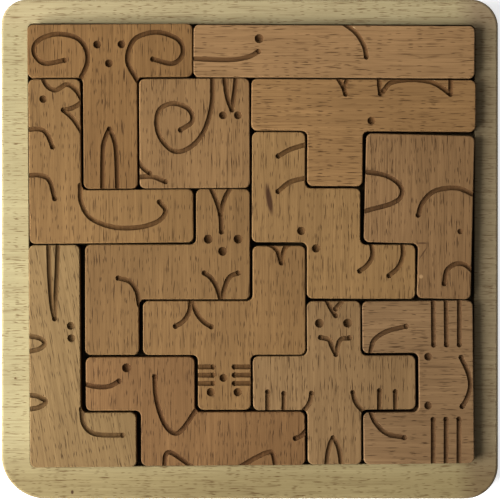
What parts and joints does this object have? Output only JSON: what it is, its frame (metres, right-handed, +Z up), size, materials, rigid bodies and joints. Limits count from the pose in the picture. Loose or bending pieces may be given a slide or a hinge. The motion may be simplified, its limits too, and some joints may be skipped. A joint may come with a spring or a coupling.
{
  "type": "wooden packing puzzle",
  "caption": "Square wooden tray filled edge to edge by animal-shaped blocks cut from square cells, each lifting straight out.",
  "frame": {"origin": "middle of the tray's underside", "axes": "+Z up out of the tray, +X to the right along the tray's grain, +Y to the back"},
  "size_m": [0.2238, 0.225, 0.0166],
  "materials": {
    "tray_beech": "satin",
    "ram_beech": "satin",
    "fish_beech": "satin",
    "squirrel_beech": "satin",
    "snail_beech": "satin",
    "bear_beech": "satin",
    "bird_beech": "satin",
    "dog_beech": "satin",
    "rabbit_beech": "satin",
    "leg_beech": "satin",
    "cat_beech": "satin",
    "elephant_beech": "satin",
    "owl_beech": "satin",
    "tiger_beech": "satin"
  },
  "bodies": {
    "tray": {"tray": "tray_beech"},
    "ram": {"ram_block": "ram_beech"},
    "fish": {"fish_block": "fish_beech"},
    "squirrel": {"squirrel_block": "squirrel_beech"},
    "snail": {"snail_block": "snail_beech"},
    "bear": {"bear_block": "bear_beech"},
    "bird": {"bird_block": "bird_beech"},
    "dog": {"dog_block": "dog_beech"},
    "rabbit": {"rabbit_block": "rabbit_beech"},
    "leg": {"leg_block": "leg_beech"},
    "cat": {"cat_block": "cat_beech"},
    "elephant": {"elephant_block": "elephant_beech"},
    "owl": {"owl_block": "owl_beech"},
    "tiger": {"tiger_block": "tiger_beech"}
  },
  "joints": [
    {"name": "ram_lift", "type": "slide", "parent": "tray", "child": "ram", "axis": [0, 0, 1], "range_m": [0, 0.03]},
    {"name": "fish_lift", "type": "slide", "parent": "tray", "child": "fish", "axis": [0, 0, 1], "range_m": [0, 0.03]},
    {"name": "squirrel_lift", "type": "slide", "parent": "tray", "child": "squirrel", "axis": [0, 0, 1], "range_m": [0, 0.03]},
    {"name": "snail_lift", "type": "slide", "parent": "tray", "child": "snail", "axis": [0, 0, 1], "range_m": [0, 0.03]},
    {"name": "bear_lift", "type": "slide", "parent": "tray", "child": "bear", "axis": [0, 0, 1], "range_m": [0, 0.03]},
    {"name": "bird_lift", "type": "slide", "parent": "tray", "child": "bird", "axis": [0, 0, 1], "range_m": [0, 0.03]},
    {"name": "dog_lift", "type": "slide", "parent": "tray", "child": "dog", "axis": [0, 0, 1], "range_m": [0, 0.03]},
    {"name": "rabbit_lift", "type": "slide", "parent": "tray", "child": "rabbit", "axis": [0, 0, 1], "range_m": [0, 0.03]},
    {"name": "leg_lift", "type": "slide", "parent": "tray", "child": "leg", "axis": [0, 0, 1], "range_m": [0, 0.03]},
    {"name": "cat_lift", "type": "slide", "parent": "tray", "child": "cat", "axis": [0, 0, 1], "range_m": [0, 0.03]},
    {"name": "elephant_lift", "type": "slide", "parent": "tray", "child": "elephant", "axis": [0, 0, 1], "range_m": [0, 0.03]},
    {"name": "owl_lift", "type": "slide", "parent": "tray", "child": "owl", "axis": [0, 0, 1], "range_m": [0, 0.03]},
    {"name": "tiger_lift", "type": "slide", "parent": "tray", "child": "tiger", "axis": [0, 0, 1], "range_m": [0, 0.03]}
  ]
}
